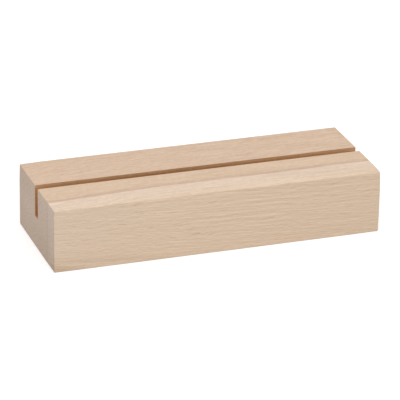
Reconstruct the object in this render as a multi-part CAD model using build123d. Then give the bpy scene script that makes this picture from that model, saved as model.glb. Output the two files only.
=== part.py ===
from build123d import *
import os

# A photo block holder: one bar of solid beech, planed square, with one slot
# sawn along the middle of its top. A print or a card stands in the slot.
# All sizes are in millimetres. The origin is the centre of the base, X runs
# along the bar, Y from its front face to its rear face, and Z is up.

# The bar, as it comes from the planer and the crosscut saw.
block_length = 104.0
block_depth = 38.0
block_height = 20.0

# The slot: one pass of a flat-toothed saw blade, open at the top and at both
# ends.
slot_width = 3.2
slot_depth = 10.0

# Sharp edges rubbed down by hand: those of the bar, and the rim of the slot.
arris_radius = 0.2
slot_rim_radius = 0.1

# How far the blade runs on past each surface that it leaves by.
cut_overrun = 1.0


def sanded_bar():
    """The squared bar, standing on its base, with every edge of it eased."""
    bar = Box(
        block_length,
        block_depth,
        block_height,
        align=(Align.CENTER, Align.CENTER, Align.MIN),
    )
    return fillet(bar.edges(), radius=arris_radius)


def saw_path():
    """What the blade takes away: a flat-bottomed channel from end to end."""
    channel = Box(
        block_length + 2 * cut_overrun,
        slot_width,
        slot_depth + cut_overrun,
        align=(Align.CENTER, Align.CENTER, Align.MIN),
    )
    slot_floor = block_height - slot_depth
    return Pos(0, 0, slot_floor) * channel


def slotted_block():
    """The whole holder: the bar with its slot sawn and the slot's rim eased.

    The two corners where the slot's walls meet its floor stay sharp, as the
    blade leaves them, because no abrasive reaches them.
    """
    bar = sanded_bar()
    cut = saw_path()
    block = bar - cut
    sawn_edges = new_edges(bar, cut, combined=block)
    floor_corners = sawn_edges.filter_by(Axis.X).group_by(Axis.Z)[0]
    return fillet(sawn_edges - floor_corners, radius=slot_rim_radius)


os.makedirs("parts", exist_ok=True)
holder = slotted_block()
export_step(holder, "parts/slotted_block.step")
print("slotted_block:", len(holder.solids()), "solid,", round(holder.volume), "mm3")
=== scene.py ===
# %% [markdown]
# # A photo block holder in solid beech
#
# The object is one low bar of pale beech with a slot sawn along its top. A
# print stands in the slot. There is nothing else to it, so all of its
# character is in the wood: the growth ring that runs along the top, the short
# dark rays on the front, the grey end grain, and the edges that someone rubbed
# down by hand. This lesson loads the measured model, models the same block
# again with softer edges, and then grows the wood inside it, as one solid
# pattern that every face cuts through.

import math

import bmesh
import bpy
from mathutils import Matrix, Vector


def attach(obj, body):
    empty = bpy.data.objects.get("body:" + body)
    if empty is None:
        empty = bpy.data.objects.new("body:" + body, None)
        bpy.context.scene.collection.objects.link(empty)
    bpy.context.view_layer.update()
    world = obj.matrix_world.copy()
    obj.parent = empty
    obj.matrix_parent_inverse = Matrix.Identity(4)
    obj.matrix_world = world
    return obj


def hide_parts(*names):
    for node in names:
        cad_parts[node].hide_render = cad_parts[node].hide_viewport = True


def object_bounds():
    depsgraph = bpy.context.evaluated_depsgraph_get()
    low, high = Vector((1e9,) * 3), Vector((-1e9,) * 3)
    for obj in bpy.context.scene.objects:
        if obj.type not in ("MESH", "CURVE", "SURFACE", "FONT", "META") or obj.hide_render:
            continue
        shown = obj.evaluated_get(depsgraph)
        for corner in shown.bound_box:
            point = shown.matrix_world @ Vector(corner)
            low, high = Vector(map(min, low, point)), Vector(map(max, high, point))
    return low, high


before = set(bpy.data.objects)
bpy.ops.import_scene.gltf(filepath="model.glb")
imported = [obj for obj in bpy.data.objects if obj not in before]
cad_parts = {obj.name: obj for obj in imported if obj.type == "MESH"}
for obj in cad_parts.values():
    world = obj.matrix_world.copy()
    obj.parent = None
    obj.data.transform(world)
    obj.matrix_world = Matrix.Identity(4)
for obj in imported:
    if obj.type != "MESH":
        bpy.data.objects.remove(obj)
cad_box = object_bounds()
block_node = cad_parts["slotted_block"]
print("CAD box in metres:", [tuple(corner) for corner in cad_box])

# %% [markdown]
# ## Take the sizes from the model
#
# The drawn sizes shouldn't be typed a second time, because two lists of sizes
# soon disagree. The measured solid already holds them. Its only flat faces
# that look up are the two halves of the top and the floor of the slot, so
# their corners give the slot's width and depth, and how far the edges are
# eased.

# %% Measure the block and its slot
MM = 0.001
least_upright = 0.9999
least_area = MM * MM
low, high = (Vector(corner) for corner in cad_box)
length, depth, height = high - low
block_middle = (low + high) / 2


def flat_corners(node, at_top):
    """Corners of the large faces that look up, at the top or below it."""
    mesh = node.data
    corners = []
    for face in mesh.polygons:
        looks_up = face.normal.z > least_upright and face.area > least_area
        is_at_top = face.center.z > high.z - MM
        if looks_up and is_at_top == at_top:
            corners += [mesh.vertices[index].co.copy() for index in face.vertices]
    return corners


floor_corners = flat_corners(block_node, at_top=False)
top_corners = flat_corners(block_node, at_top=True)
slot_floor = floor_corners[0].z
slot_front = min(corner.y for corner in floor_corners)
slot_rear = max(corner.y for corner in floor_corners)
slot_depth = high.z - slot_floor
arris = high.y - max(corner.y for corner in top_corners)
slot_rim = min(corner.y for corner in top_corners if corner.y > slot_rear) - slot_rear
print(f"block {length / MM:.1f} x {depth / MM:.1f} x {height / MM:.1f} mm")
print(f"slot {(slot_rear - slot_front) / MM:.2f} mm wide, {slot_depth / MM:.2f} mm deep")
print(f"edges eased by {arris / MM:.2f} mm, slot rim by {slot_rim / MM:.2f} mm")

# %% [markdown]
# ## Put the camera where the photographer stood
#
# A long lens far away keeps the block's edges nearly parallel, and a short
# lens close by makes them run together. A camera could be moved about until
# the picture looks right, but the straight edges of the block give its place
# more surely: here a long lens, a little under a metre away, above and to the
# left of the block. It is set by the point that it looks at, the direction
# that it looks from, its distance, and a small roll.

# %% Camera
look_at = Vector((0.09, -0.33, 9.31)) * MM
camera_distance = 835.1 * MM
camera_swing = math.radians(-19.412)
camera_rise = math.radians(23.495)
camera_roll = math.radians(-0.983)
picture_width_px = 400
focal_length_px = 2717.4
sensor_width_mm = 36.0
clip_near_share, clip_far_share = 0.1, 20.0


def direction(swing, rise):
    """Unit vector from the block towards a place: swing is its angle from
    straight in front, to the right, and rise its angle above the table."""
    flat = math.cos(rise)
    return Vector((math.sin(swing) * flat, -math.cos(swing) * flat, math.sin(rise)))


camera_from = direction(camera_swing, camera_rise)
bpy.ops.object.camera_add(location=look_at + camera_from * camera_distance)
camera = bpy.context.object
camera.name = "camera"
camera.data.sensor_width = sensor_width_mm
camera.data.lens = sensor_width_mm * focal_length_px / picture_width_px
camera.data.clip_start = camera_distance * clip_near_share
camera.data.clip_end = camera_distance * clip_far_share
level_view = (-camera_from).to_track_quat("-Z", "Y").to_matrix()
roll = Matrix.Rotation(camera_roll, 3, -camera_from)
camera.rotation_euler = (roll @ level_view).to_euler()
bpy.context.scene.camera = camera
bpy.context.scene.view_settings.view_transform = "Standard"
print(f"lens {camera.data.lens:.1f} mm, camera at", tuple(camera.location))

# %% [markdown]
# ## Two helpers for nodes
#
# Every light and finish below is a net of nodes. They could be placed and
# wired by hand in the shader editor. In code, one helper adds a node and plugs
# in what it needs, and a second one adds a Math node and gives its result.


# %% Node helpers
def add(tree, kind, inputs=None, **settings):
    """A new node. Each input is a plain value, or another node's output."""
    node = tree.nodes.new(kind)
    for name, value in settings.items():
        setattr(node, name, value)
    for name, value in (inputs or {}).items():
        if isinstance(value, bpy.types.NodeSocket):
            tree.links.new(value, node.inputs[name])
        else:
            node.inputs[name].default_value = value
    return node


def calc(tree, operation, *values):
    """The result of a Math node on one to three values."""
    inputs = dict(enumerate(values))
    return add(tree, "ShaderNodeMath", inputs, operation=operation).outputs[0]


print("node helpers ready")

# %% [markdown]
# ## Light and table
#
# The picture is lit softly from all round, a little more from above and from
# the left, so the top is the brightest face. A ring of lamps could do that, but
# an even white surround does most of it alone, and one large softbox does the
# rest. The table is white. Rays from the camera see the table and the surround
# as plain white, and so do rays that come off gloss or through glass, while
# the block's soft shadow stays.

# %% Surround
white = (1.0, 1.0, 1.0, 1.0)
lit_strength = 0.76
shown_strength = 1.0


def seen_directly(tree):
    """1 for rays from the camera, off a glossy face or through glass."""
    path = tree.nodes.new("ShaderNodeLightPath").outputs
    seen = calc(tree, "MAXIMUM", path["Is Camera Ray"], path["Is Glossy Ray"])
    return calc(tree, "MAXIMUM", seen, path["Is Transmission Ray"])


world = bpy.data.worlds.new("white surround")
bpy.context.scene.world = world
world.use_nodes = True
net = world.node_tree
net.nodes.clear()
lit = add(net, "ShaderNodeBackground", {"Color": white, "Strength": lit_strength})
shown = add(net, "ShaderNodeBackground", {"Color": white, "Strength": shown_strength})
choice = {0: seen_directly(net), 1: lit.outputs[0], 2: shown.outputs[0]}
mixed = add(net, "ShaderNodeMixShader", choice)
add(net, "ShaderNodeOutputWorld", {"Surface": mixed.outputs[0]})
print("the surround lights at", lit_strength, "and shows at", shown_strength)

# %% Softbox
softbox_swing = math.radians(-12)
softbox_rise = math.radians(60.6)
softbox_distance = 0.8
softbox_size = 0.55
softbox_power = 1.73
softbox_from = direction(softbox_swing, softbox_rise)
bpy.ops.object.light_add(type="AREA", location=block_middle + softbox_from * softbox_distance)
softbox = bpy.context.object
softbox.name = "softbox"
softbox.data.size = softbox_size
softbox.data.energy = softbox_power
softbox.rotation_euler = (-softbox_from).to_track_quat("-Z", "Y").to_euler()
print("softbox at", tuple(round(v, 3) for v in softbox.location))

# %% Table
table_size = 8.0
table_white = (0.68, 0.68, 0.68, 1.0)
table_glow = 0.50
bpy.ops.mesh.primitive_plane_add(size=table_size)
table = bpy.context.object
table.name = "table"
table_finish = bpy.data.materials.new("white table")
table_finish.use_nodes = True
net = table_finish.node_tree
net.nodes.clear()
paint = add(net, "ShaderNodeBsdfDiffuse", {"Color": table_white})
glow_strength = calc(net, "MULTIPLY", seen_directly(net), table_glow)
glow = add(net, "ShaderNodeEmission", {"Strength": glow_strength})
both = add(net, "ShaderNodeAddShader", {0: paint.outputs[0], 1: glow.outputs[0]})
add(net, "ShaderNodeOutputMaterial", {"Surface": both.outputs[0]})
table.data.materials.append(table_finish)
print("table", table_size, "m wide")

# %% [markdown]
# ## Select by place
#
# With a mouse, one clicks on the faces or edges to work on. In code they are
# found by where they are and which way they face, and they are still found
# when a size changes. An operator then acts on all that is selected. A second
# helper marks new lines where planes cross the mesh.

# %% Edit mode helpers
AXES = range(3)
AXIS_X, AXIS_Y, AXIS_Z = AXES


def pick(kind, test):
    """In edit mode, selects just the verts, edges or faces that pass a test."""
    modes = {"verts": "VERT", "edges": "EDGE", "faces": "FACE"}
    bpy.ops.mesh.select_mode(type=modes[kind])
    bpy.ops.mesh.select_all(action="DESELECT")
    mesh = bpy.context.object.data
    sketch = bmesh.from_edit_mesh(mesh)
    picked = [part for part in getattr(sketch, kind) if test(part)]
    for part in picked:
        part.select_set(True)
    bmesh.update_edit_mesh(mesh)
    return len(picked)


def near(first, second, slack=0.01 * MM):
    """Whether two lengths are the same, but for rounding."""
    return abs(first - second) < slack


def slice_mesh(axis, places):
    """Marks the mesh where planes square to one axis cross it."""
    across = Vector((0.0, 0.0, 0.0))
    across[axis] = 1.0
    for position in places:
        bpy.ops.mesh.select_all(action="SELECT")
        bpy.ops.mesh.bisect(plane_co=across * position, plane_no=across)


print("edit mode helpers ready")

# %% [markdown]
# ## Model the block
#
# On the bench the block is planed, its edges are eased and a saw takes out
# the slot. A Boolean cut could do the same here, but it leaves long, uneven
# faces that bevel badly. It is cleaner to work the other way round: lay a slab
# as high as the slot's floor, mark the slot on it with two cuts, and pull the
# wood on each side up to full height.

# %% Block: slab and walls
same_plane_angle = math.radians(1)


def is_beside_slot(face):
    """A top face of the slab that isn't the floor of the slot."""
    middle = face.calc_center_median()
    return near(middle.z, slot_floor) and not slot_front < middle.y < slot_rear


bpy.ops.object.select_all(action="DESELECT")
bpy.ops.mesh.primitive_cube_add(
    size=1,
    location=(block_middle.x, block_middle.y, slot_floor / 2),
    scale=(length, depth, slot_floor),
)
block = bpy.context.object
block.name = "beech_block"
bpy.ops.object.transform_apply(location=True, rotation=True, scale=True)
bpy.ops.object.mode_set(mode="EDIT")
slice_mesh(AXIS_Y, (slot_front, slot_rear))
print("faces beside the slot:", pick("faces", is_beside_slot))
bpy.ops.mesh.extrude_region_move(TRANSFORM_OT_translate={"value": (0, 0, slot_depth)})
bpy.ops.mesh.select_all(action="SELECT")
bpy.ops.mesh.dissolve_limited(angle_limit=same_plane_angle)
bpy.ops.object.mode_set(mode="OBJECT")
print("faces with sharp edges:", len(block.data.polygons))

# %% [markdown]
# ## Ease the edges
#
# A planed edge is sharp enough to cut, so a maker rubs each one with fine
# paper until it is a few tenths of a millimetre round. The saw comes after
# that, and its edges get only a light touch. One Bevel modifier would treat
# all edges alike, so there are two bevels by hand, both with the profile of a
# quarter circle. The two inner corners, where the walls meet the slot's floor,
# stay sharp.

# %% Block: eased edges
arris_steps = 5
rim_steps = 3
quarter_circle = 0.5
least_facing = 0.99


def is_outer_edge(edge):
    """Whether the middle of an edge lies on two outer sides of the block."""
    middle = (edge.verts[0].co + edge.verts[1].co) / 2
    sides = [near(middle[axis], low[axis]) or near(middle[axis], high[axis]) for axis in AXES]
    return sum(sides) == 2


def is_slot_face(face):
    """Whether a face is a wall or the floor of the slot."""
    middle = face.calc_center_median()
    on_wall = near(middle.y, slot_front) or near(middle.y, slot_rear)
    on_floor = near(middle.z, slot_floor) and slot_front < middle.y < slot_rear
    is_wall = on_wall and abs(face.normal.y) > least_facing
    is_floor = on_floor and face.normal.z > least_facing
    return is_wall or is_floor


def is_rim_edge(edge):
    """Whether an edge is where the slot comes out of the block."""
    return sum(is_slot_face(face) for face in edge.link_faces) == 1


bpy.ops.object.mode_set(mode="EDIT")
print("outer edges:", pick("edges", is_outer_edge))
bpy.ops.mesh.bevel(offset=arris, segments=arris_steps, profile=quarter_circle)
print("rim edges:", pick("edges", is_rim_edge))
bpy.ops.mesh.bevel(offset=slot_rim, segments=rim_steps, profile=quarter_circle)
bpy.ops.object.mode_set(mode="OBJECT")
print("faces with eased edges:", len(block.data.polygons))

# %% [markdown]
# ## Slice the block for wear
#
# Wear needs points to act on. Subdividing every face alike would spend most
# of them where nothing happens. Instead, the block is sliced square to each
# axis: closely near its corners, and every few millimetres elsewhere. A slice
# that would fall on the slot's own lines is left out.

# %% Block: fine slices
close_steps_mm = (0.13, 0.3, 0.5, 0.8, 1.2)
close_slices = [arris + step * MM for step in close_steps_mm]
wide_step = 4.0 * MM
slot_margin = slot_rim + 0.15 * MM


def slice_places(start, end):
    """Close to both ends, and then at even steps of a few millimetres."""
    near_ends = [start + step for step in close_slices] + [end - step for step in close_slices]
    first = start + close_slices[-1]
    inner = end - close_slices[-1] - first
    steps = max(1, round(inner / wide_step))
    return near_ends + [first + inner * step / steps for step in range(1, steps)]


def clear_of(marks, places):
    """The places that miss the lines that the slot already has."""
    return [place for place in places if all(abs(place - mark) > slot_margin for mark in marks)]


bpy.ops.object.mode_set(mode="EDIT")
slice_mesh(AXIS_X, slice_places(low.x, high.x))
slice_mesh(AXIS_Y, clear_of((slot_front, slot_rear), slice_places(low.y, high.y)))
slice_mesh(AXIS_Z, clear_of((slot_floor,), slice_places(low.z, high.z)))
bpy.ops.object.mode_set(mode="OBJECT")
print("faces after slicing:", len(block.data.polygons))

# %% [markdown]
# ## Wear the corners
#
# Paper wrapped round a block of cork takes more off the corners than off the
# edges, and never the same amount twice. A sculpting brush would do that by
# hand. Here the points round a corner are smoothed, which pulls it in, and
# more passes pull it in further, so each corner has its own number of passes.
# The corners at the top right of the front and the top left of the rear are
# the most worn.

# %% Block: worn corners
corner_reach = 1.5 * MM
pass_strength = 0.5
corner_passes = {
    ("left", "front", "bottom"): 18,
    ("left", "front", "top"): 14,
    ("left", "rear", "bottom"): 8,
    ("left", "rear", "top"): 36,
    ("right", "front", "bottom"): 20,
    ("right", "front", "top"): 40,
    ("right", "rear", "bottom"): 16,
    ("right", "rear", "top"): 8,
}


def corner_place(end, face, level):
    """The sharp corner of the block that three words name."""
    x = low.x if end == "left" else high.x
    y = low.y if face == "front" else high.y
    z = low.z if level == "bottom" else high.z
    return Vector((x, y, z))


bpy.ops.object.mode_set(mode="EDIT")
for names, passes in corner_passes.items():
    corner = corner_place(*names)
    pick("verts", lambda vertex: (vertex.co - corner).length < corner_reach)
    bpy.ops.mesh.vertices_smooth(factor=pass_strength, repeat=passes)
    print(*names, "corner:", passes, "passes")
bpy.ops.object.mode_set(mode="OBJECT")

# %% [markdown]
# ## Rub the long edges
#
# A hand presses harder in some places than in others. Bump in the material
# could hint at that, but the outline would stay straight, so the points
# themselves move. A Displace modifier reads a cloudy texture and pushes the
# points of the rounded edges in by up to a few hundredths of a millimetre, and
# everything stays inside the measured block. The large faces take no part,
# because they were planed flat. Then the shading is set: smooth over the
# rounded edges, and true to the flat faces.

# %% Block: rubbed edges and shading
edge_reach = 0.999 * arris
most_rubbed = 0.05 * MM
rubbed_spacing = 7.0 * MM
sharp_angle = math.radians(40)
flat_face_weight = 100


def is_on_edge(vertex):
    """Whether a point lies on the rounded part of an outer edge."""
    gaps = [min(vertex.co[axis] - low[axis], high[axis] - vertex.co[axis]) for axis in AXES]
    return sorted(gaps)[1] < edge_reach


def apply_modifier(kind, **settings):
    """Adds a modifier to the block, sets it and applies it."""
    bpy.ops.object.modifier_add(type=kind)
    modifier = block.modifiers[-1]
    for name, value in settings.items():
        setattr(modifier, name, value)
    bpy.ops.object.modifier_apply(modifier=modifier.name)


bpy.ops.object.mode_set(mode="EDIT")
print("edge points:", pick("verts", is_on_edge))
bpy.ops.object.vertex_group_assign_new()
bpy.ops.object.mode_set(mode="OBJECT")
rubbing = bpy.data.textures.new("uneven rubbing", "CLOUDS")
rubbing.noise_scale = rubbed_spacing
apply_modifier(
    "DISPLACE",
    texture=rubbing,
    texture_coords="LOCAL",
    vertex_group=block.vertex_groups[0].name,
    mid_level=0.0,
    strength=-most_rubbed,
)
block.vertex_groups.clear()
bpy.ops.object.shade_smooth_by_angle(angle=sharp_angle)
apply_modifier("WEIGHTED_NORMAL", keep_sharp=True, weight=flat_face_weight)
print("faces in the finished block:", len(block.data.polygons))

# %% [markdown]
# ## Helpers for the wood
#
# A node group is a box of nodes with named inputs and outputs, which several
# materials can share. One helper starts a group, one finishes it, and one puts
# it to use. The others are for the work inside a group: vectors, noise, and a
# ramp that turns a distance into a soft mask.


# %% Group helpers
def start_group(name, inputs, outputs):
    """An empty node group, its input node's outputs, and its output node."""
    group = bpy.data.node_groups.new(name, "ShaderNodeTree")
    kinds = {
        "value": "NodeSocketFloat",
        "vector": "NodeSocketVector",
        "colour": "NodeSocketColor",
    }
    for socket_name, kind, default in inputs:
        socket = group.interface.new_socket(
            socket_name, in_out="INPUT", socket_type=kinds[kind]
        )
        if default is not None:
            socket.default_value = default
    for socket_name, kind in outputs:
        group.interface.new_socket(
            socket_name, in_out="OUTPUT", socket_type=kinds[kind]
        )
    entry = group.nodes.new("NodeGroupInput").outputs
    return group, entry, group.nodes.new("NodeGroupOutput")


def finish_group(group, leave, **results):
    """Plugs the results into the outputs of the same names."""
    for name, value in results.items():
        group.links.new(value, leave.inputs[name])
    print(f"group {group.name}: {len(group.nodes)} nodes")


def use_group(tree, group, inputs):
    """Puts a group in a material or in another group, and gives its outputs."""
    return add(tree, "ShaderNodeGroup", inputs, node_tree=group).outputs


print("group helpers ready")


# %% Vector, noise and ramp helpers
def vector_calc(tree, operation, *values):
    """The result of a Vector Math node on two vectors."""
    inputs = dict(enumerate(values))
    return add(tree, "ShaderNodeVectorMath", inputs, operation=operation).outputs[0]


def scaled(tree, value, factor):
    """A vector times a plain factor."""
    inputs = {0: value, "Scale": factor}
    return add(tree, "ShaderNodeVectorMath", inputs, operation="SCALE").outputs[0]


def parts_of(tree, value):
    """The parts of a vector, under the names X, Y and Z."""
    return add(tree, "ShaderNodeSeparateXYZ", {0: value}).outputs


def vector_of(tree, x, y, z):
    """The vector that has these three parts."""
    return add(tree, "ShaderNodeCombineXYZ", {"X": x, "Y": y, "Z": z}).outputs[0]


def noise(tree, point, detail):
    """Soft noise from 0 to 1, whose lumps are about one unit wide."""
    inputs = {"Vector": point, "Scale": 1.0, "Detail": detail}
    return add(tree, "ShaderNodeTexNoise", inputs).outputs[0]


def ramp(tree, value, start, end, low_out=0.0, high_out=1.0, smooth=True):
    """low_out up to start, high_out from end on, and a soft step between."""
    shape = "SMOOTHSTEP" if smooth else "LINEAR"
    inputs = {
        "Value": value,
        "From Min": start,
        "From Max": end,
        "To Min": low_out,
        "To Max": high_out,
    }
    return add(tree, "ShaderNodeMapRange", inputs, interpolation_type=shape).outputs[0]


def product(tree, *values):
    """Two or more values, multiplied together."""
    result = values[0]
    for value in values[1:]:
        result = calc(tree, "MULTIPLY", result, value)
    return result


print("vector, noise and ramp helpers ready")

# %% [markdown]
# ## Where a point lies in the tree
#
# Wood looks different on each face because each face cuts the same solid in
# another direction. So the pattern isn't painted on the faces: each point of
# the block is turned into its place in the tree it came from. The three parts
# of that place are in millimetres: along the grain, outward towards the bark
# from one marked growth ring, and around the trunk. The heart of the tree lies
# behind the block, so the front face runs along the rings and the top cuts
# across them. Near the left end the trunk swelled, which bends the rings
# forward. The grain runs slightly downhill to the right, and it is never quite
# straight.

# %% Group: place in the tree
heart_behind = 70.0
heart_height = 10.0
marked_ring = 81.0
swelling = 1.9
swelling_start, swelling_end = -18.0, -52.0
grain_fall = 0.0436
grain_fall_change = -0.000167
wave_size = (10.0, 4.5, 4.5)
wave_height = 1.0
wave_detail = 1.2
tree_place, entry, leave = start_group(
    "place in the tree", [("Position", "vector", None)], [("Place", "vector")]
)
in_mm = scaled(tree_place, entry["Position"], 1 / MM)
axes = parts_of(tree_place, in_mm)
swell = ramp(tree_place, axes["X"], swelling_start, swelling_end, 0.0, swelling)
back = calc(tree_place, "ADD", axes["Y"], swell)
ahead_of_heart = calc(tree_place, "SUBTRACT", heart_behind, back)
fall_rate = calc(tree_place, "MULTIPLY_ADD", axes["X"], grain_fall_change, grain_fall)
raised = calc(tree_place, "MULTIPLY_ADD", axes["X"], fall_rate, axes["Z"])
wave = noise(tree_place, vector_calc(tree_place, "DIVIDE", in_mm, wave_size), wave_detail)
waved = calc(tree_place, "MULTIPLY_ADD", wave, wave_height, raised)
above_heart = calc(tree_place, "SUBTRACT", waved, heart_height + wave_height / 2)
ahead_squared = product(tree_place, ahead_of_heart, ahead_of_heart)
radius_squared = calc(tree_place, "MULTIPLY_ADD", above_heart, above_heart, ahead_squared)
radius = calc(tree_place, "SQRT", radius_squared)
outward = calc(tree_place, "SUBTRACT", radius, marked_ring)
turn = calc(tree_place, "ARCTAN2", above_heart, ahead_of_heart)
around = calc(tree_place, "MULTIPLY", turn, marked_ring)
finish_group(tree_place, leave, Place=vector_of(tree_place, axes["X"], outward, around))

# %% [markdown]
# ## Streaks
#
# Wood cells are long, thin tubes, so almost every change of tone in wood is
# drawn out along the grain. One group makes such streaks at any size: noise
# whose space is squeezed by the streak's length, its depth towards the bark
# and its width around the trunk. Plain noise also swells slowly over many
# streaks, and wood doesn't. So it is compared with the same noise a little
# deeper and a little further round, which leaves just the streaks. The group is
# used for bands, for fibres and for pores, each with its own seed. "Level"
# swings about zero, by about one.

# %% Group: streaks
streak_gain = 4.5
streak_shift = 0.8
streak_detail = 1.0
seed_distance = 19.7
streaks, entry, leave = start_group(
    "streaks",
    [
        ("Place", "vector", None),
        ("Length", "value", 10.0),
        ("Depth", "value", 1.0),
        ("Width", "value", 1.0),
        ("Seed", "value", 0.0),
    ],
    [("Level", "value")],
)
streak_size = vector_of(streaks, entry["Length"], entry["Depth"], entry["Width"])
squeezed = vector_calc(streaks, "DIVIDE", entry["Place"], streak_size)
seed_shift = calc(streaks, "MULTIPLY", entry["Seed"], seed_distance)
seed_corner = vector_of(streaks, seed_shift, seed_shift, seed_shift)
seeded = vector_calc(streaks, "ADD", squeezed, seed_corner)
samples = []
for deeper in (0.0, streak_shift):
    for further in (0.0, streak_shift):
        point = vector_calc(streaks, "ADD", seeded, (0.0, deeper, further))
        samples.append(noise(streaks, point, streak_detail))
here, further_round, deeper_in, both_shifts = samples
same = calc(streaks, "ADD", here, both_shifts)
other = calc(streaks, "ADD", further_round, deeper_in)
level = calc(streaks, "MULTIPLY", calc(streaks, "SUBTRACT", same, other), streak_gain)
finish_group(streaks, leave, Level=level)


def streak(tree, place, size, seed):
    """Streaks of one size, given as length, depth and width in millimetres."""
    inputs = {"Place": place, "Seed": seed}
    inputs.update(zip(("Length", "Depth", "Width"), size))
    return use_group(tree, streaks, inputs)["Level"]


# %% [markdown]
# ## Rays
#
# Beech is known by its rays: thin ribbons of cells that run from the heart to
# the bark. On the front face they are cut across, and show as short dark
# dashes that narrow to a point at each end. On the top they lie almost in the
# surface and show as soft flecks. On the end grain they are fine lines. Dashes
# painted on the front would miss the other faces, so one model serves all
# three: space is divided into long cells, each with one ribbon in it, of its
# own length, width and darkness. A few are dark and most are faint.

# %% Group: rays, one ribbon in each cell
ray_cell = (5.6, 24.0, 0.7)
ray_scatter = 0.9
ray_half_lengths = (1.0, 2.6)
ray_half_widths = (0.05, 0.09)
ray_bluntness = 4.0
ray_soft_edge = 0.06
ray_reach = 13.0
ray_full_share = 0.6
ray_rarity = 2.4
rays, entry, leave = start_group("rays", [("Place", "vector", None)], [("Ray", "value")])
in_cells = vector_calc(rays, "DIVIDE", entry["Place"], ray_cell)
cell_inputs = {"Vector": in_cells, "Scale": 1.0, "Randomness": ray_scatter}
cells = add(rays, "ShaderNodeTexVoronoi", cell_inputs).outputs
from_centre = vector_calc(rays, "SUBTRACT", in_cells, cells["Position"])
offset = parts_of(rays, vector_calc(rays, "MULTIPLY", from_centre, ray_cell))
chance = add(rays, "ShaderNodeSeparateColor", {0: cells["Color"]}).outputs
half_length = ramp(rays, chance[0], 0.0, 1.0, *ray_half_lengths, smooth=False)
half_width = ramp(rays, chance[1], 0.0, 1.0, *ray_half_widths, smooth=False)
reach = calc(rays, "ABSOLUTE", calc(rays, "DIVIDE", offset["X"], half_length))
taper = calc(rays, "SUBTRACT", 1.0, calc(rays, "POWER", reach, ray_bluntness))
taper = calc(rays, "MAXIMUM", taper, 0.0)
ribbon_width = calc(rays, "MULTIPLY", taper, half_width)
inside = calc(rays, "SUBTRACT", ribbon_width, calc(rays, "ABSOLUTE", offset["Z"]))
cover = ramp(rays, inside, 0.0, ray_soft_edge)
from_middle = calc(rays, "ABSOLUTE", offset["Y"])
depth_fade = ramp(rays, from_middle, ray_reach, ray_reach * ray_full_share)
darkness = calc(rays, "POWER", chance[2], ray_rarity)
print("ribbons up to", 2 * ray_half_lengths[1], "mm long in the wood")

# %% [markdown]
# ## Where the rays are dark
#
# The dark rays keep together. Spread evenly they would look printed. So soft
# streaks of a much larger size decide where they are, and they are darkest of
# all in one oval area a little left of the middle of the front.

# %% Group: rays, where they keep together
together_size = (16.0, 10.0, 4.0)
together_swing = (-1.2, 1.2)
together_least = 0.25
dark_area_middle = (-15.0, 8.0, 0.0)
dark_area_size = (17.0, 12.0, 4.5)
dark_area_fade = (1.4, 0.5)
dark_area_gain = 0.9


def oval_reach(tree, place, middle, size):
    """How far a place is from the middle of an oval, where 1 is its edge."""
    from_oval = vector_calc(tree, "SUBTRACT", place, middle)
    in_ovals = {0: vector_calc(tree, "DIVIDE", from_oval, size)}
    return add(tree, "ShaderNodeVectorMath", in_ovals, operation="LENGTH").outputs["Value"]


clusters = streak(rays, entry["Place"], together_size, seed=3.0)
together = ramp(rays, clusters, *together_swing, together_least)
area_reach = oval_reach(rays, entry["Place"], dark_area_middle, dark_area_size)
in_area = ramp(rays, area_reach, *dark_area_fade, 0.0, dark_area_gain)
crowding = calc(rays, "ADD", together, in_area)
finish_group(rays, leave, Ray=product(rays, cover, depth_fade, darkness, crowding))

# %% [markdown]
# ## Growth rings
#
# Each year ends with a thin dark line of dense late wood, and the next begins
# pale. One such line runs along the top. Its dark side fades towards the heart
# within two millimetres, and its pale side is abrupt, because growth stops
# slowly in autumn and starts at once in spring. The wood outside that line is
# also paler as a whole. A plain ring texture would be as even as a machined
# thread, so streaks let the line wander a little, and darken it in some places
# more than in others.

# %% Group: growth rings
late_wood_reach = (-2.6, -0.7)
line_sharpness = 0.14
line_wander = 0.10
line_swing = 0.2
wander_size = (9.0, 40.0, 8.0)
swing_size = (6.0, 40.0, 10.0)
year_size = (300.0, 3.2, 60.0)
rings, entry, leave = start_group(
    "growth rings",
    [("Place", "vector", None), ("Outward", "value", 0.0)],
    [("Newer", "value"), ("Line", "value"), ("Tone", "value")],
)
wander = streak(rings, entry["Place"], wander_size, seed=5.0)
from_line = calc(rings, "MULTIPLY_ADD", wander, line_wander, entry["Outward"])
newer = ramp(rings, from_line, -line_sharpness, line_sharpness)
older = calc(rings, "SUBTRACT", 1.0, newer)
late = ramp(rings, from_line, *late_wood_reach)
uneven = streak(rings, entry["Place"], swing_size, seed=6.0)
line_strength = calc(rings, "MULTIPLY_ADD", uneven, line_swing, 1.0)
line = product(rings, late, older, line_strength)
year_tone = streak(rings, entry["Place"], year_size, seed=7.0)
finish_group(rings, leave, Newer=newer, Line=line, Tone=year_tone)

# %% [markdown]
# ## Lighter and darker
#
# Where wood is darker it is also a little redder. A plain brightness change
# would grey it. This group moves a colour up or down by a number of levels,
# each about one step of the 255 that a picture has, and moves blue and green a
# little more than red.

# %% Group: shift tone
level_share = (0.0096, 0.0122, 0.0150)
no_change = (1.0, 1.0, 1.0)
no_light = (0.0, 0.0, 0.0)
shift_tone, entry, leave = start_group(
    "shift tone",
    [("Colour", "colour", None), ("Levels", "value", 0.0)],
    [("Colour", "colour")],
)
change = scaled(shift_tone, level_share, entry["Levels"])
factor = vector_calc(shift_tone, "ADD", change, no_change)
factor = vector_calc(shift_tone, "MAXIMUM", factor, no_light)
shifted = vector_calc(shift_tone, "MULTIPLY", entry["Colour"], factor)
finish_group(shift_tone, leave, Colour=shifted)

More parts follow.
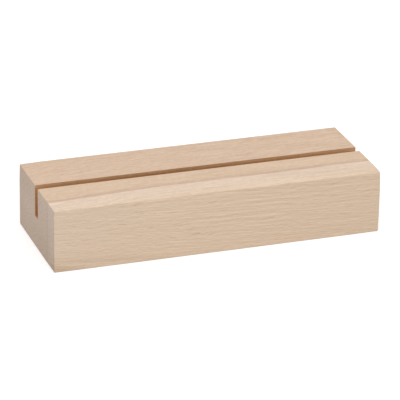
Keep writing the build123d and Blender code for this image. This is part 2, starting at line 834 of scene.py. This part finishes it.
# %% [markdown]
# ## The colours of the wood
#
# The next few cells build one group that is the wood as a whole. It asks only
# for a point and for which way the surface faces there, so any face can use
# it. One base colour with noise over it would look like printed film, so it
# starts with the colours that a tree has: warmer inside the ring line, paler
# and yellower towards the bark, and greyer wherever the grain is cut across,
# since the open ends of the cells swallow light.

# %% Group: beech wood, its colours
heart_side_wood = (0.705, 0.507, 0.365, 1.0)
inner_wood = (0.722, 0.530, 0.3745, 1.0)
late_wood_share = (0.888, 0.855, 0.860)
outer_wood = (0.779, 0.611, 0.481, 1.0)
bark_side_wood = (0.802, 0.614, 0.448, 1.0)
end_wood = (0.550, 0.433, 0.348, 1.0)
end_share = 0.75
end_facing = (0.45, 0.9)
heart_side_fade = (-7.0, -14.0)
bark_side_fade = (0.5, 9.5)


def blend(tree, amount, first, second):
    """A colour that goes from first to second as amount goes from 0 to 1.
    Sockets 6 and 7 of a Mix node are its two colours, and 2 is their mix."""
    inputs = {0: amount, 6: first, 7: second}
    return add(tree, "ShaderNodeMix", inputs, data_type="RGBA", clamp_factor=True).outputs[2]


beech_wood, entry, leave = start_group(
    "beech wood",
    [("Position", "vector", None), ("Normal", "vector", None)],
    [("Colour", "colour"), ("Relief", "value"), ("Place", "vector")],
)
spot = use_group(beech_wood, tree_place, {"Position": entry["Position"]})["Place"]
in_tree = parts_of(beech_wood, spot)
along, outward, around = in_tree["X"], in_tree["Y"], in_tree["Z"]
facing = parts_of(beech_wood, entry["Normal"])
end_grain = ramp(beech_wood, calc(beech_wood, "ABSOLUTE", facing["X"]), *end_facing)
ring = use_group(beech_wood, rings, {"Place": spot, "Outward": outward})
towards_bark = ramp(beech_wood, outward, *bark_side_fade, smooth=False)
newer_colour = blend(beech_wood, towards_bark, outer_wood, bark_side_wood)
towards_heart = ramp(beech_wood, outward, *heart_side_fade)
older_colour = blend(beech_wood, towards_heart, inner_wood, heart_side_wood)
late_colour = vector_calc(beech_wood, "MULTIPLY", older_colour, late_wood_share)
older_colour = blend(beech_wood, ring["Line"], older_colour, late_colour)
long_grain = blend(beech_wood, ring["Newer"], older_colour, newer_colour)
cut_share = calc(beech_wood, "MULTIPLY", end_grain, end_share)
base_colour = blend(beech_wood, cut_share, long_grain, end_wood)
print("the ring line keeps", late_wood_share, "of the colour beside it")

# %% [markdown]
# ## Bands, fibres and pores
#
# Seen closely, beech is full of streaks of many sizes, from bands as long as a
# finger joint to pores that a pin could just enter. One noise texture with
# high detail would hold all sizes too, but all with the same shape and
# strength. Here each size has its own shape and its own strength in levels. On
# the front and the rear, the bands and the fibres are quieter low down and to
# the left. A list collects each pattern with its strength, and a later cell
# adds them up.

# %% Group: beech wood, streaks of many sizes
changes = []
patterns = {}
# Each kind has a length, a depth and a width, then its seed and its strength.
streak_kinds = {
    "bands": ((20.0, 1.1, 0.80), 11.0, 2.1),
    "fibres": ((9.0, 0.5, 0.40), 12.0, 2.7),
    "curls": ((3.2, 0.4, 0.30), 16.0, 2.1),
    "fine": ((2.6, 0.25, 0.13), 13.0, 2.6),
    "patches": ((8.0, 4.0, 3.0), 14.0, 0.3),
    "flecks": ((1.4, 2.2, 0.5), 17.0, 1.7),
    "pores": ((1.6, 0.10, 0.09), 15.0, -10.0),
    "mottle": ((40.0, 1.6, 1.4), 18.0, 2.1),
}
pore_onset = (1.1, 1.9)
low_quiet_reach, low_quiet = (-7.0, 3.0), (0.22, 0.0)
left_quiet_reach, left_quiet = (-52.0, 15.0), (0.26, -0.05)
ring_levels = 0.7
front_or_rear = product(beech_wood, facing["Y"], facing["Y"])
low_loss = ramp(beech_wood, around, *low_quiet_reach, *low_quiet)
left_loss = ramp(beech_wood, along, *left_quiet_reach, *left_quiet)
loss = product(beech_wood, calc(beech_wood, "ADD", low_loss, left_loss), front_or_rear)
quiet = calc(beech_wood, "SUBTRACT", 1.0, loss)
for name, (size, seed, strength) in streak_kinds.items():
    pattern = streak(beech_wood, spot, size, seed)
    if name in ("bands", "fibres"):
        pattern = product(beech_wood, pattern, quiet)
    elif name == "pores":
        pattern = ramp(beech_wood, pattern, *pore_onset)
    elif name == "mottle":
        pattern = product(beech_wood, pattern, end_grain)
    patterns[name] = pattern
    changes.append((pattern, strength))
    print(f"{name}: {size[0]} mm long, {size[2]} mm wide, {strength} levels")
changes.append((ring["Tone"], ring_levels))

# %% [markdown]
# ## Slow changes over the block
#
# This block pales evenly towards its left end, most of all on its front, and
# that is painted light, falling off from the left to the right. Even ripples
# run along the upper right of the front. The strip nearest the heart, along
# the rear edge, is a shade darker. One spot near the rear right corner is
# pale, where rays lie flat in the surface. Each of these could be painted on
# its face, but a mask worked out from the place in the tree runs through the
# wood and turns the corners with it.

# %% Group: beech wood, slow changes of tone and painted light
painted_light_left_levels, painted_light_front_or_rear_levels = 0.9, 1.5
ripple_spacing, ripple_top, ripple_levels = 1.9, 8.0, 2.2
ripple_up, ripple_along = (0.5, 4.0), (-16.0, 4.0)
rear_strip_fade, rear_strip_levels = (-24.0, -27.0), -2.0
pale_spot_middle, pale_spot_size = (45.0, -22.0, 10.0), (9.0, 7.0, 30.0)
pale_spot_fade, pale_spot_levels = (1.1, 0.2), 2.8

# Painted light: paler towards the left end, and more so on the front and the rear.
painted_light_to_left = calc(beech_wood, "MULTIPLY", along, -2 * MM / length)
painted_light_gain = calc(
    beech_wood, "MULTIPLY_ADD", front_or_rear, painted_light_front_or_rear_levels, painted_light_left_levels
)
changes.append((product(beech_wood, painted_light_to_left, painted_light_gain), 1.0))

below_top_ripple = calc(beech_wood, "SUBTRACT", around, ripple_top)
ripple_turn = calc(beech_wood, "MULTIPLY", below_top_ripple, 2 * math.pi / ripple_spacing)
ripples = product(
    beech_wood,
    calc(beech_wood, "COSINE", ripple_turn),
    ramp(beech_wood, around, *ripple_up),
    ramp(beech_wood, along, *ripple_along),
)
changes.append((ripples, ripple_levels))

rear_strip = ramp(beech_wood, outward, *rear_strip_fade)
changes.append((rear_strip, rear_strip_levels))

spot_reach = oval_reach(beech_wood, spot, pale_spot_middle, pale_spot_size)
pale_spot = ramp(beech_wood, spot_reach, *pale_spot_fade)
changes.append((pale_spot, pale_spot_levels))
print("kinds of change so far:", len(changes))

# %% [markdown]
# ## Painted light and shade on the end grain
#
# The left end isn't one grey either. Painted light makes it paler high up at
# the front and low down at the rear, and painted shade makes it darker low
# down as a whole. Two ramps that go from minus one to one do the first: where
# both have the same sign their product is pale, and elsewhere it is dark.

# %% Group: beech wood, painted light and shade on the end grain
both_ways = (-1.0, 1.0)
end_light_shade_outward, end_light_shade_around, end_light_shade_levels = (-22.0, -2.0), (-4.0, 6.0), 3.0
end_shade_fade, end_shade_levels = (-1.0, -9.0), -2.6
# Painted light and shade: paler high at the front and low at the rear, darker elsewhere.
end_front = ramp(beech_wood, outward, *end_light_shade_outward, *both_ways)
end_high = ramp(beech_wood, around, *end_light_shade_around, *both_ways)
end_light_and_shade = product(beech_wood, end_front, end_high, end_grain)
# Painted shade: the whole end grain darker low down.
end_low_painted_shade = product(beech_wood, ramp(beech_wood, around, *end_shade_fade), end_grain)
changes += [(end_light_and_shade, end_light_shade_levels), (end_low_painted_shade, end_shade_levels)]
print("kinds of change so far:", len(changes))

# %% [markdown]
# ## Darker wood in the lower left
#
# Low down at the left of the front, two older rings come to the surface at a
# slant. They show as a faint, redder shade, a thin line in it, and a darker
# wedge in the corner below that. The rings of the whole tree could be bent to
# pass there, but that would move the line on the top too, so the three are
# masks of their own, two of them along one slanting measure.

# %% Group: beech wood, the lower left
shade_down, shade_along, shade_levels = (-4.0, -9.0), (0.0, -48.0), -3.0
slant_rate = 0.03
thin_line_height, thin_line_fade = -9.87, (0.6, 0.1)
thin_line_along, thin_line_levels = (-8.0, -24.0), -6.0
wedge_down, wedge_along, wedge_levels = (-11.3, -11.75), (-37.0, -51.0), -13.0
near_front_fade = (1.5, 5.0)

shade_height = ramp(beech_wood, around, *shade_down)
shade = product(beech_wood, shade_height, ramp(beech_wood, along, *shade_along))
changes.append((shade, shade_levels))

slant = calc(beech_wood, "MULTIPLY_ADD", along, slant_rate, around)
above_line = calc(beech_wood, "SUBTRACT", slant, thin_line_height)
near_front = ramp(beech_wood, outward, *near_front_fade)
thin_line = product(
    beech_wood,
    ramp(beech_wood, calc(beech_wood, "ABSOLUTE", above_line), *thin_line_fade),
    ramp(beech_wood, along, *thin_line_along),
    near_front,
)
changes.append((thin_line, thin_line_levels))

wedge = product(
    beech_wood,
    ramp(beech_wood, slant, *wedge_down),
    ramp(beech_wood, along, *wedge_along),
    near_front,
)
changes.append((wedge, wedge_levels))
print("kinds of change so far:", len(changes))

# %% [markdown]
# ## The wood as a whole
#
# A ray is dark where it is cut across, on the front and the rear, and nearly
# clear where it lies in the surface. With the rays in, all the changes are
# added up and move the plain colour. They could also be mixed in one by one as
# layers of colour, but then each would wash out the ones below it. The group
# also gives the relief that sandpaper leaves: fine ridges, with the pores as
# deeper grooves.

# %% Group: beech wood, rays and the sum
ray_levels = -38.0
ray_facing, ray_in_surface = (0.2, 0.9), 0.08
fine_relief, pore_relief = 0.3, -1.0
sideways = calc(beech_wood, "ABSOLUTE", facing["Y"])
cut_across = ramp(beech_wood, sideways, *ray_facing, ray_in_surface)
ray = use_group(beech_wood, rays, {"Place": spot})["Ray"]
changes.append((product(beech_wood, ray, cut_across), ray_levels))
levels = 0.0
for pattern, strength in changes:
    levels = calc(beech_wood, "MULTIPLY_ADD", pattern, strength, levels)
tone_inputs = {"Colour": base_colour, "Levels": levels}
toned = use_group(beech_wood, shift_tone, tone_inputs)["Colour"]
relief = calc(beech_wood, "MULTIPLY", patterns["fine"], fine_relief)
relief = calc(beech_wood, "MULTIPLY_ADD", patterns["pores"], pore_relief, relief)
finish_group(beech_wood, leave, Colour=toned, Relief=relief, Place=spot)

# %% [markdown]
# ## Sanded beech
#
# The outside is planed and finely sanded, with no oil or wax: nearly matt, with
# grooves too fine to feel. The wood group gives its colour and its relief. Its
# gloss could vary as well, but bare wood has so little that nobody would see
# it, so the roughness and the shine are plain numbers on the shader.

# %% Material: sanded beech
sanded_roughness, sanded_shine = 0.58, 0.3
sanded_relief = 0.012 * MM


def start_finish(name):
    """A new material for the block: its node tree, the wood in it, and the
    place of each point on the block."""
    finish = bpy.data.materials.new(name)
    finish.use_nodes = True
    net = finish.node_tree
    net.nodes.clear()
    block.data.materials.append(finish)
    surface_point = net.nodes.new("ShaderNodeTexCoord").outputs
    position, normal = surface_point["Object"], surface_point["Normal"]
    wood = use_group(net, beech_wood, {"Position": position, "Normal": normal})
    return net, wood, position


def finish_surface(net, colour, relief, relief_height, roughness, shine):
    """The surface itself, from its colour, its relief and how it shines."""
    bump = add(net, "ShaderNodeBump", {"Height": relief, "Distance": relief_height})
    inputs = {
        "Base Color": colour,
        "Normal": bump.outputs[0],
        "Roughness": roughness,
        "Specular IOR Level": shine,
    }
    surface = add(net, "ShaderNodeBsdfPrincipled", inputs)
    add(net, "ShaderNodeOutputMaterial", {"Surface": surface.outputs[0]})


net, wood, position = start_finish("sanded beech")
finish_surface(
    net, wood["Colour"], wood["Relief"], sanded_relief, sanded_roughness, sanded_shine
)
print("sanded beech:", len(net.nodes), "nodes")

# %% [markdown]
# ## Sawn beech: the marks of the blade
#
# The slot is as the saw left it. A round blade leaves shallow arcs on the
# walls, and the same marks as straight scratches on the floor. A Wave texture
# would space them too evenly for a real set of teeth, so noise along one line
# gives the marks. That line sags with the height above the floor, which bends
# them into arcs. Fibres that the teeth tore out leave short streaks.

# %% Material: sawn beech, marks and torn fibres
saw_radius = 90.0
saw_step = 1.1
saw_detail = 2.0
noise_middle = 0.5
saw_mark_gain, saw_mark_levels = 8.0, 3.0
torn_size, torn_levels = (4.0, 6.0, 0.45), 5.0
net, wood, position = start_finish("sawn beech")
axes = parts_of(net, scaled(net, position, 1 / MM))
from_floor = calc(net, "SUBTRACT", axes["Z"], slot_floor / MM)
sag = calc(net, "DIVIDE", product(net, from_floor, from_floor), 2 * saw_radius)
along_cut = calc(net, "SUBTRACT", axes["X"], sag)
tooth = vector_of(net, calc(net, "DIVIDE", along_cut, saw_step), 0.0, 0.0)
mark = calc(net, "SUBTRACT", noise(net, tooth, saw_detail), noise_middle)
mark = calc(net, "MULTIPLY", mark, saw_mark_gain)
torn = streak(net, wood["Place"], torn_size, seed=21.0)
levels = calc(net, "MULTIPLY", mark, saw_mark_levels)
levels = calc(net, "MULTIPLY_ADD", torn, torn_levels, levels)
print("saw marks about", saw_step, "mm apart")

# %% [markdown]
# ## Sawn beech: its colour and painted shade
#
# Torn fibres drink in light, so sawn wood looks darker and warmer than sanded
# wood. Lower down in the slot it is darker and warmer still, and that is
# painted shade. Along the slot painted shade makes it darkest a little left of
# the middle, and painted light makes it palest towards the open right end. A
# plain brown would hide the wood, so a tint is multiplied in, and the streaks below it stay.

# %% Material: sawn beech, colour and surface
middle_shade_centre, middle_shade_reach, middle_shade_full_share, middle_shade_levels = -12.0, 30.0, 0.25, -8.0
right_light_along, right_light_levels = (10.0, 50.0), 6.0
sawn_tint_top = (0.876, 0.723, 0.518, 1.0)
# The lower tint holds painted shade as well as the colour of sawn wood.
sawn_tint_low_with_shade = (0.75, 0.51, 0.275, 1.0)
painted_shade_depth = (0.5, 1.6)
sawn_roughness, sawn_shine = 0.8, 0.2
sawn_relief = 0.03 * MM
# Painted shade in the middle of the slot, and painted light towards its open right end.
from_middle_shade = calc(net, "ABSOLUTE", calc(net, "SUBTRACT", axes["X"], middle_shade_centre))
middle_painted_shade = ramp(net, from_middle_shade, middle_shade_reach, middle_shade_reach * middle_shade_full_share)
right_painted_light = ramp(net, axes["X"], *right_light_along)
levels = calc(net, "MULTIPLY_ADD", middle_painted_shade, middle_shade_levels, levels)
levels = calc(net, "MULTIPLY_ADD", right_painted_light, right_light_levels, levels)
toned = use_group(net, shift_tone, {"Colour": wood["Colour"], "Levels": levels})["Colour"]
# Painted shade: the tint turns darker and warmer lower down in the slot.
down = calc(net, "SUBTRACT", height / MM, axes["Z"])
sawn_and_shade_tint = blend(net, ramp(net, down, *painted_shade_depth), sawn_tint_top, sawn_tint_low_with_shade)
sawn_and_shaded = vector_calc(net, "MULTIPLY", toned, sawn_and_shade_tint)
finish_surface(net, sawn_and_shaded, mark, sawn_relief, sawn_roughness, sawn_shine)
print("sawn beech:", len(net.nodes), "nodes")

# %% [markdown]
# ## Give the slot its sawn finish
#
# The block has one skin but two finishes. A second object inside the slot
# would show a seam, so the faces of the slot are picked by their place and
# given the second material. Its eased rim was sanded, and keeps the first.

# %% Block: finish of the slot
bpy.ops.object.mode_set(mode="EDIT")
print("sawn faces:", pick("faces", is_slot_face))
block.active_material_index = block.data.materials.find("sawn beech")
bpy.ops.object.material_slot_assign()
bpy.ops.object.mode_set(mode="OBJECT")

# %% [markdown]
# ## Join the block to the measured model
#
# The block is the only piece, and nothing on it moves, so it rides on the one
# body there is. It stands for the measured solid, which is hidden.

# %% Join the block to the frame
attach(block, "root")
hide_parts("slotted_block")
print("joined", block.name)
